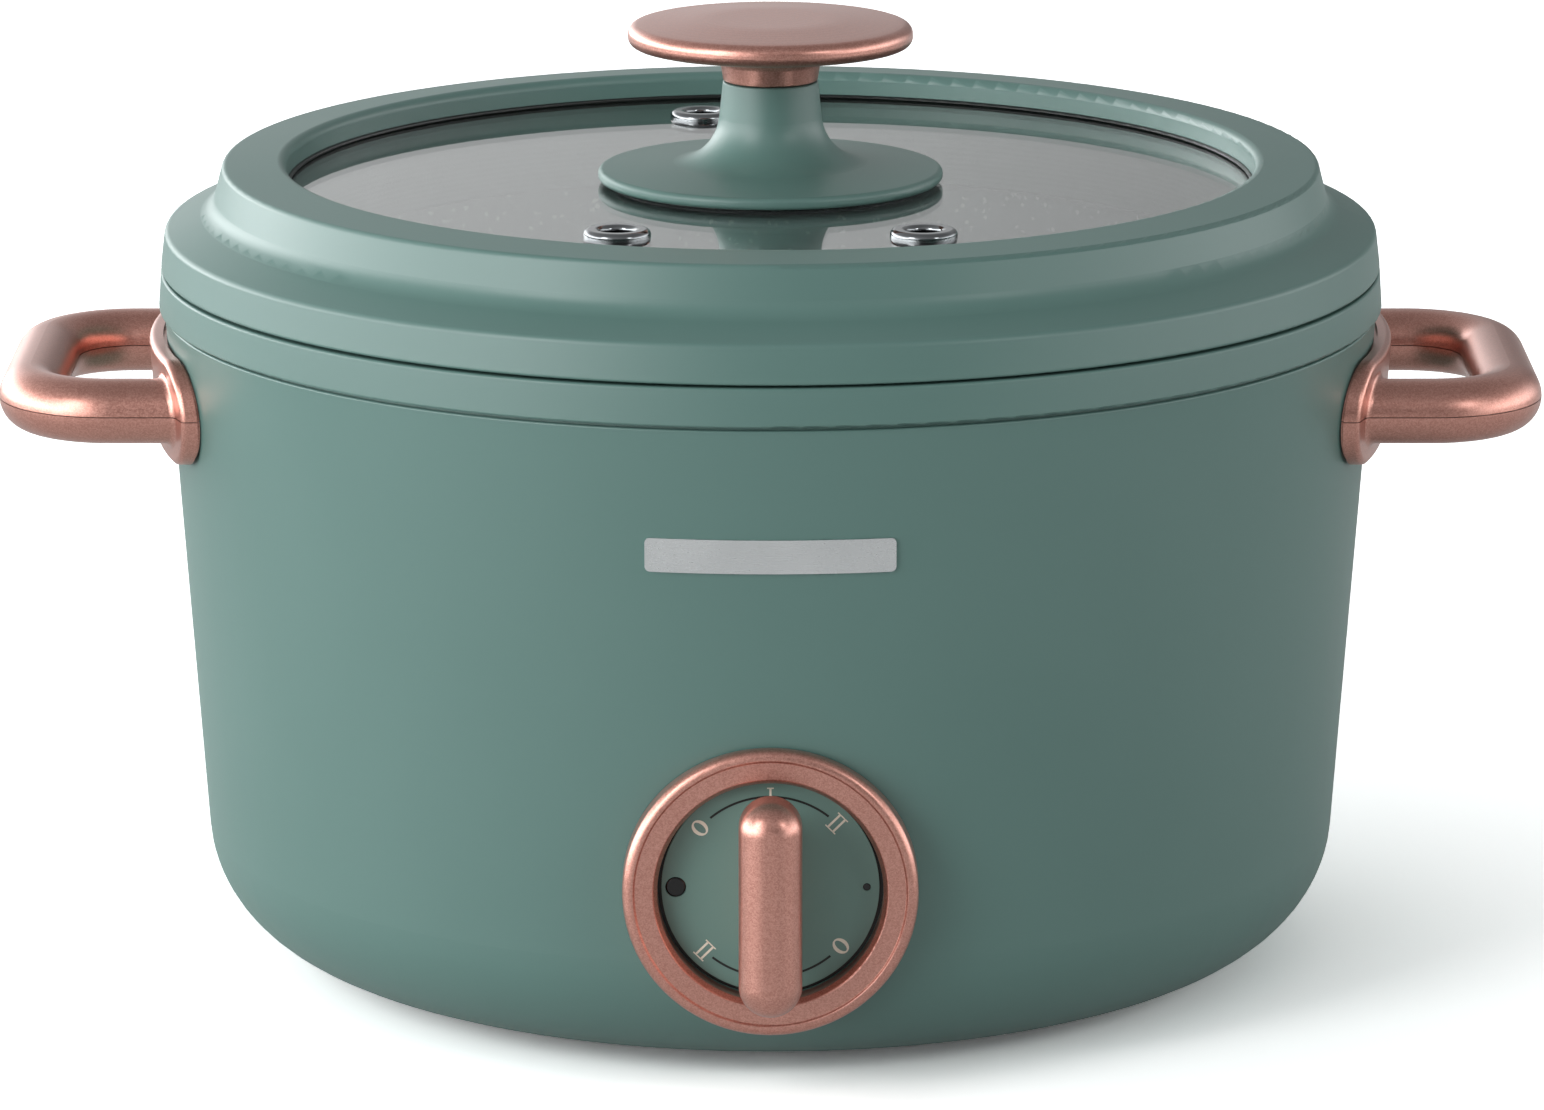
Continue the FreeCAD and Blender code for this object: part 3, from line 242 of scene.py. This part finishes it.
def sprayed_nonstick():
    """Grey non-stick coating rolled and baked on aluminium: a soft sheen, fine pale specks and a slight
    pebble."""
    material, tree, shader = start("sprayed non-stick coating, grey", Roughness=0.34, Metallic=0.15)
    place = add(tree, "TexCoord").outputs["Object"]
    specks = add(tree, "TexVoronoi", {"Vector": place, "Scale": per_mm(0.9)})
    pick = add(tree, "SeparateColor", {"Color": specks.outputs["Color"]}).outputs["Green"]
    few = add(tree, "MapRange", {"Value": pick, "From Min": 0.93, "From Max": 0.97})
    tone = add(tree, "MixRGB", {"Fac": few.outputs["Result"], "Color1": linear("646467"), "Color2": linear("9a9a9b")})
    pebble = add(tree, "TexNoise", {"Vector": place, "Scale": per_mm(1.2), "Detail": 2.0})
    relief = add(tree, "Bump", {"Height": pebble.outputs["Fac"], "Strength": 0.5, "Distance": 0.02 * MM})
    tree.links.new(tone.outputs["Color"], shader.inputs["Base Color"])
    tree.links.new(relief.outputs["Normal"], shader.inputs["Normal"])
    return material


# ---------------------------------------------------------------- glass

def toughened_glass():
    """Clear toughened glass, float made: sharp reflections, hardly any tint, and it lets lamps through."""
    material, tree, shader = start(
        "toughened float glass", Base_Color=linear("eef4f1"), Roughness=0.0, IOR=1.5, Transmission_Weight=1.0)
    clear = add(tree, "BsdfTransparent", {"Color": linear("e4ece8")})
    lamp_ray = add(tree, "LightPath").outputs["Is Shadow Ray"]
    both = add(tree, "MixShader", {0: lamp_ray, 1: shader.outputs["BSDF"], 2: clear.outputs["BSDF"]})
    output = next(node for node in tree.nodes if node.type == "OUTPUT_MATERIAL")
    tree.links.new(both.outputs["Shader"], output.inputs["Surface"])
    return material


def tinted_resin(name, colour, rough, through):
    """Cast acrylic or resin: a smooth gloss over a deep colour."""
    material, tree, shader = start(name, Base_Color=linear(colour), Roughness=rough, IOR=1.49)
    place = add(tree, "TexCoord").outputs["Object"]
    ripple = add(tree, "TexNoise", {"Vector": place, "Scale": per_mm(2.5)})
    relief = add(tree, "Bump", {"Height": ripple.outputs["Fac"], "Strength": 0.2, "Distance": 0.01 * MM})
    shader.inputs["Transmission Weight"].default_value = through
    tree.links.new(relief.outputs["Normal"], shader.inputs["Normal"])
    return material


# ---------------------------------------------------------------- finishes of the frame's pieces

def finish_pieces():
    """Gives each piece of the cooker its material."""
    green = moulded_polypropylene("moulded polypropylene, grey green", "51706a", "56756f")
    # The dial face is the body's grey-green plastic painted paler to lift the shade that falls in its recess: painted
    # light.
    painted_light_face_green = moulded_polypropylene("moulded polypropylene, paler grey green", "63857d", "688a82")
    copper = rose_copper_lacquer()
    black_abs = moulded_part("moulded ABS, black", "18191a", "222324", 0.50, 0.7, 0.03)
    silicone = moulded_part("pressed silicone, black", "141716", "1d2120", 0.38, 0.9, 0.004, 1.41)
    rubber = moulded_part("moulded rubber, black", "1b1b1c", "292929", 0.72, 0.6, 0.03, 1.52)
    white_nylon = moulded_part("glass-filled nylon, natural", "cfccc0", "e0ddd2", 0.48, 0.6, 0.02, 1.53)
    ceramic_sleeve = moulded_part("woven glass sleeve, natural", "b9ad93", "d2c7ae", 0.75, 0.8, 0.08)
    board = moulded_part("solder mask on laminate, green", "234a2f", "2f5c3b", 0.30, 1.5, 0.01)
    brown = moulded_part("extruded PVC, brown", "553220", "6b432c", 0.42, 1.2, 0.005, 1.53)
    blue = moulded_part("extruded PVC, blue", "1f4f95", "2c62ad", 0.42, 1.2, 0.005, 1.53)
    natural = moulded_part("extruded silicone, natural", "cfcabc", "dfdacd", 0.50, 1.2, 0.005, 1.41)
    yellow_green = moulded_part("extruded PVC, green and yellow", "4f8a35", "c9c23a", 0.42, 1.2, 0.005, 1.53)
    even = (1.0, 1.0, 1.0)
    liner_steel = drawn_metal("pressed aluminised steel", "a9a8a4", "c2c1bd", 0.36, 0.8, (1.0, 1.0, 0.06))
    zinc = drawn_metal("turned zinc-plated steel", "9fa2a4", "b9bcbe", 0.30, 0.4, even)
    cast = drawn_metal("die-cast aluminium", "a3a5a7", "bfc1c2", 0.44, 0.9, even)
    sheath = drawn_metal("oxidised steel sheath", "544e48", "70675e", 0.52, 1.1, even)
    brass = drawn_metal("stamped brass", "b59653", "cfb26c", 0.28, 0.5, (1.0, 0.08, 1.0))
    chrome = drawn_metal("rolled black nickel plate", "7d8082", "8f9294", 0.16, 1.6, even)
    badge = drawn_metal("brushed stainless steel", "c6c9ca", "dddfe0", 0.26, 0.35, (0.03, 1.0, 1.0))
    finishes = {
        green: ["outer_housing", "top_collar", "lid_rim", "knob_base"],
        painted_light_face_green: ["dial_face"],
        copper: ["handle_right_upper", "handle_right_lower", "handle_left_upper", "handle_left_lower",
                 "dial_bezel", "control_knob"],
        rose_copper_lacquer(turned=True): ["knob_cap"],
        toughened_glass(): ["lid_glass"],
        sprayed_nonstick(): ["inner_pot"],
        ribbed_nylon(): ["lid_inner_ring"],
        black_abs: ["base_cover", "power_inlet"],
        silicone: ["glass_gasket", "knob_gasket"],
        rubber: ["rubber_feet"],
        chrome: ["vent_eyelets"],
        badge: ["front_badge"],
        liner_steel: ["heat_liner", "handle_backing_plates", "fuse_clip", "earth_tag", "thermostat_housing"],
        zinc: ["liner_screws", "plate_screws", "plate_standoffs", "switch_screws", "handle_screws",
               "inlet_screws", "base_screws", "lid_ring_screws", "knob_screw", "knob_washer",
               "probe_spring", "probe_stem", "switch_shaft"],
        cast: ["heating_plate", "probe_cap"],
        sheath: ["heating_element"],
        ceramic_sleeve: ["thermal_fuse"],
        tinted_resin("cast acrylic, smoked black", "020202", 0.2, 0.0): ["lamp_lens_large", "lamp_lens_small"],
        tinted_resin("cast resin, amber", "d8753c", 0.08, 0.4): ["lamp_leds"],
        board: ["lamp_board"],
        white_nylon: ["switch_body", "switch_cover", "switch_cam"],
        brass: ["switch_contacts", "inlet_pins"],
        brown: ["wire_live"],
        blue: ["wire_neutral"],
        natural: ["wire_switched"],
        yellow_green: ["wire_earth"],
    }
    for material, names in finishes.items():
        for name in names:
            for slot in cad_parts[name].material_slots:
                slot.material = material


# ---------------------------------------------------------------- printed dial marks and painted groove shade

def ring_outline(half_width, half_height, steps=40):
    """Points round an ellipse."""
    turns = [2 * math.pi * step / steps for step in range(steps)]
    return [(half_width * math.cos(turn), half_height * math.sin(turn)) for turn in turns]


def band(outer, inner):
    """Quads between two outlines with the same number of points."""
    count = len(outer)
    return [[outer[i], outer[(i + 1) % count], inner[(i + 1) % count], inner[i]] for i in range(count)]


def bar(u0, v0, u1, v1):
    """One upright quad."""
    return [(u0, v0), (u1, v0), (u1, v1), (u0, v1)]


def zero_shapes():
    """The off mark: an oval whose sides are heavier than its top and bottom."""
    half = MARK_HEIGHT / 2
    return band(ring_outline(half * 0.82, half), ring_outline(half * 0.42, half * 0.82))


def stroke_shapes(stems):
    """The one and two marks: upright stems between two long serifs."""
    half = MARK_HEIGHT / 2
    reach = max(abs(stem) for stem in stems) + 0.75
    shapes = [bar(-reach, side * half - 0.14, reach, side * half + 0.14) for side in (-1, 1)]
    return shapes + [bar(stem - 0.25, -half, stem + 0.25, half) for stem in stems]


def arc_shapes():
    """The thin line from off, past one, to two."""
    steps = 48
    angles = [math.radians(ARC_START + (ARC_END - ARC_START) * step / steps) for step in range(steps + 1)]
    shapes = []
    for before, after in zip(angles, angles[1:]):
        shapes.append([
            (radius * math.sin(angle), radius * math.cos(angle))
            for angle, radius in (
                (before, MARK_RADIUS - ARC_WIDTH / 2), (before, MARK_RADIUS + ARC_WIDTH / 2),
                (after, MARK_RADIUS + ARC_WIDTH / 2), (after, MARK_RADIUS - ARC_WIDTH / 2))
        ])
    return shapes


def turned_clockwise(shape, degrees, out=0.0):
    """The shape moved out along the dial's upward radius, then turned clockwise about its middle."""
    angle = math.radians(degrees)
    return [
        (u * math.cos(angle) + (v + out) * math.sin(angle), (v + out) * math.cos(angle) - u * math.sin(angle))
        for u, v in shape
    ]


def print_on_dial(name, shapes, ink, sunk=0.0):
    """Thin ink on the dial face from flat shapes in millimetres about the dial's middle, or painted shade when sunk
    into the groove.
    """
    low, high = (Vector(corner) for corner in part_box("dial_face"))
    middle = (low + high) / 2
    build = bmesh.new()
    for shape in shapes:
        corners = [
            build.verts.new((middle.x + u * MM, low.y + (sunk - INK_THICKNESS) * MM, middle.z + v * MM))
            for u, v in shape
        ]
        build.faces.new(corners)
    bmesh.ops.remove_doubles(build, verts=build.verts, dist=1e-6)
    faces = bmesh.ops.extrude_face_region(build, geom=build.faces[:])
    moved = [item for item in faces["geom"] if isinstance(item, bmesh.types.BMVert)]
    bmesh.ops.translate(build, verts=moved, vec=(0, INK_THICKNESS * MM, 0))
    bmesh.ops.recalc_face_normals(build, faces=build.faces)
    mesh = bpy.data.meshes.new(name)
    build.to_mesh(mesh)
    build.free()
    mesh.materials.append(ink)
    piece = bpy.data.objects.new(name, mesh)
    bpy.context.scene.collection.objects.link(piece)
    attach(piece, "base")


def printed_ink(name, colour):
    """Pad-printed epoxy ink: flat colour with a slightly rough, uneven lay."""
    material, tree, shader = start(name, Roughness=0.5)
    place = add(tree, "TexCoord").outputs["Object"]
    lay = add(tree, "TexNoise", {"Vector": place, "Scale": per_mm(0.6), "Detail": 3.0}).outputs["Fac"]
    shade = add(tree, "MapRange", {"Value": lay, "To Min": 0.88, "To Max": 1.0}).outputs["Result"]
    tone = add(tree, "MixRGB", {"Fac": 1.0, "Color1": linear(colour), "Color2": shade}, blend_type="MULTIPLY")
    relief = add(tree, "Bump", {"Height": lay, "Strength": 0.4, "Distance": 0.01 * MM})
    tree.links.new(tone.outputs["Color"], shader.inputs["Base Color"])
    tree.links.new(relief.outputs["Normal"], shader.inputs["Normal"])
    return material


def dial_print():
    """The marks appear twice, the second time turned half round, as both ends of the bar point at one."""
    marks = {"off": zero_shapes(), "one": stroke_shapes([0.0]), "two": stroke_shapes([-0.8, 0.8])}
    cream = []
    black = []
    for half_turn in (0.0, 180.0):
        for mark, shapes in marks.items():
            angle = MARK_ANGLES[mark] + half_turn
            cream += [turned_clockwise(shape, angle, MARK_RADIUS) for shape in shapes]
        black += [turned_clockwise(shape, half_turn) for shape in arc_shapes()]
    print_on_dial("dial_marks", cream, printed_ink("pad-printed ink, cream", "efe9d8"))
    black_ink_and_groove_shade = printed_ink("pad-printed ink, black, also groove shade", "0a0c0c")
    print_on_dial("dial_arcs", black, black_ink_and_groove_shade)
    # Painted shade: a black ring in the groove's bottom stands in for the shade between the bezel's lip and the face.
    groove = band(ring_outline(GROOVE_OUTER, GROOVE_OUTER, 96), ring_outline(GROOVE_INNER, GROOVE_INNER, 96))
    print_on_dial("dial_groove_painted_shade", groove, black_ink_and_groove_shade, GROOVE_DEPTH)


# ---------------------------------------------------------------- studio

def pale_floor():
    """Plain matt floor, wide enough to fill the view."""
    build = bmesh.new()
    bmesh.ops.create_grid(build, x_segments=1, y_segments=1, size=FLOOR_HALF_SIZE)
    mesh = bpy.data.meshes.new("studio_floor")
    build.to_mesh(mesh)
    build.free()
    material = bpy.data.materials.new("matt studio paper")
    material.use_nodes = True
    tree = material.node_tree
    tree.nodes.clear()
    place = add(tree, "TexCoord").outputs["Object"]
    mottle = add(tree, "TexNoise", {"Vector": place, "Scale": per_mm(900)}).outputs["Fac"]
    tone = add(tree, "MixRGB", {"Fac": mottle, "Color1": linear("bcbdbc"), "Color2": linear("c0c0c0")})
    # The paper is white to the lens and a little brighter in reflections, but doesn't wash out the plastic.
    ray = add(tree, "LightPath")
    glint = add(tree, "MapRange", {"Value": ray.outputs["Is Glossy Ray"], "To Min": 1.0, "To Max": FLOOR_SHEEN})
    gain = add(tree, "MapRange", {
        "Value": ray.outputs["Is Camera Ray"], "To Min": glint.outputs["Result"], "To Max": FLOOR_GAIN})
    seen = add(tree, "VectorMath", {0: tone.outputs["Color"], "Scale": gain.outputs["Result"]}, operation="SCALE")
    paper = add(tree, "BsdfDiffuse", {"Color": seen.outputs["Vector"]})
    add(tree, "OutputMaterial", {"Surface": paper.outputs["BSDF"]})
    mesh.materials.append(material)
    floor = bpy.data.objects.new("studio_floor", mesh)
    bpy.context.scene.collection.objects.link(floor)
    floor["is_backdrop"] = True


def fade(tree, value, span, levels):
    """The socket's value mapped from a span to a pair of levels, held at both ends."""
    return add(tree, "MapRange", {
        "Value": value, "From Min": span[0], "From Max": span[1], "To Min": levels[0], "To Max": levels[1]
    }).outputs["Result"]


def soft_lamp(name, aim, place, size, watts):
    """White soft box at a place, aimed at a point."""
    data = bpy.data.lights.new(name, "AREA")
    data.shape = "RECTANGLE"
    data.size, data.size_y = size
    data.energy = watts
    lamp = bpy.data.objects.new(name, data)
    lamp.location = place
    lamp.rotation_euler = (Vector(aim) - Vector(place)).to_track_quat("-Z", "Y").to_euler()
    bpy.context.scene.collection.objects.link(lamp)


def studio():
    """A light tent: a bright wall on the left, a weaker edge on the right, a band above, a soft glow behind
    on the left, a dim front, and two boxes."""
    low, high = (Vector(corner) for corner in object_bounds())
    middle = (low + high) / 2
    world = bpy.data.worlds.new("studio")
    world.use_nodes = True
    tree = world.node_tree
    tree.nodes.clear()
    way = add(tree, "SeparateXYZ", {"Vector": add(tree, "TexCoord").outputs["Generated"]})
    across, along, up = (way.outputs[axis] for axis in "XYZ")
    rise = add(tree, "ValToRGB", {"Fac": up})
    rise.color_ramp.elements[0].position, rise.color_ramp.elements[-1].position = TENT_HEIGHTS[0], TENT_HEIGHTS[-1]
    for place in TENT_HEIGHTS[1:-1]:
        rise.color_ramp.elements.new(place)
    for element, level in zip(rise.color_ramp.elements, TENT_LEVELS):
        element.color = (level, level, level, 1.0)
    wall = fade(tree, across, WALL_FADE, (0.0, TENT_WALL))
    rim = fade(tree, across, RIM_FADE, (0.0, TENT_RIM))
    sides = add(tree, "Math", {0: wall, 1: rim})
    rear = fade(tree, along, BACK_FADE, (0.0, TENT_BACK))
    rear_left = fade(tree, across, BACK_LEFT_FADE, BACK_LEFT_LEVELS)
    rear = add(tree, "Math", {0: rear, 1: rear_left}, operation="MULTIPLY")
    sides = add(tree, "Math", {0: sides.outputs[0], 1: rear.outputs[0]})
    low_only = fade(tree, up, LOW_FADE, (1.0, 0.0))
    sides = add(tree, "Math", {0: sides.outputs[0], 1: low_only}, operation="MULTIPLY")
    fall = fade(tree, across, RIGHT_FADE, (1.0, TENT_RIGHT))
    above = add(tree, "Math", {0: rise.outputs["Color"], 1: fall}, operation="MULTIPLY")
    glow = add(tree, "Math", {0: above.outputs[0], 1: sides.outputs[0]})
    sky = add(tree, "Background", {"Color": linear("fbfcfd"), "Strength": glow.outputs[0]})
    add(tree, "OutputWorld", {"Surface": sky.outputs["Background"]})
    bpy.context.scene.world = world
    soft_lamp("key_box", middle, *KEY_BOX)
    soft_lamp("fill_box", middle, *FILL_BOX)
    pale_floor()


def camera():
    """Long-lens view from the front, a little above the lid."""
    data = bpy.data.cameras.new("camera")
    data.sensor_width = SENSOR_MM
    data.lens = LENS_MM
    data.shift_x = LENS_SHIFT_X
    data.clip_end = 50.0
    view = bpy.data.objects.new("camera", data)
    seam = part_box("lid_rim")[0][2]
    view.location = (0.0, -CAMERA_DISTANCE, seam + CAMERA_ABOVE_COLLAR)
    view.rotation_euler = (math.radians(90 - CAMERA_PITCH_DEG), 0.0, 0.0)
    bpy.context.scene.collection.objects.link(view)
    bpy.context.scene.camera = view


finish_pieces()
dial_print()
studio()
camera()
bpy.context.scene.view_settings.view_transform = "Standard"
bpy.context.scene.view_settings.exposure = EXPOSURE
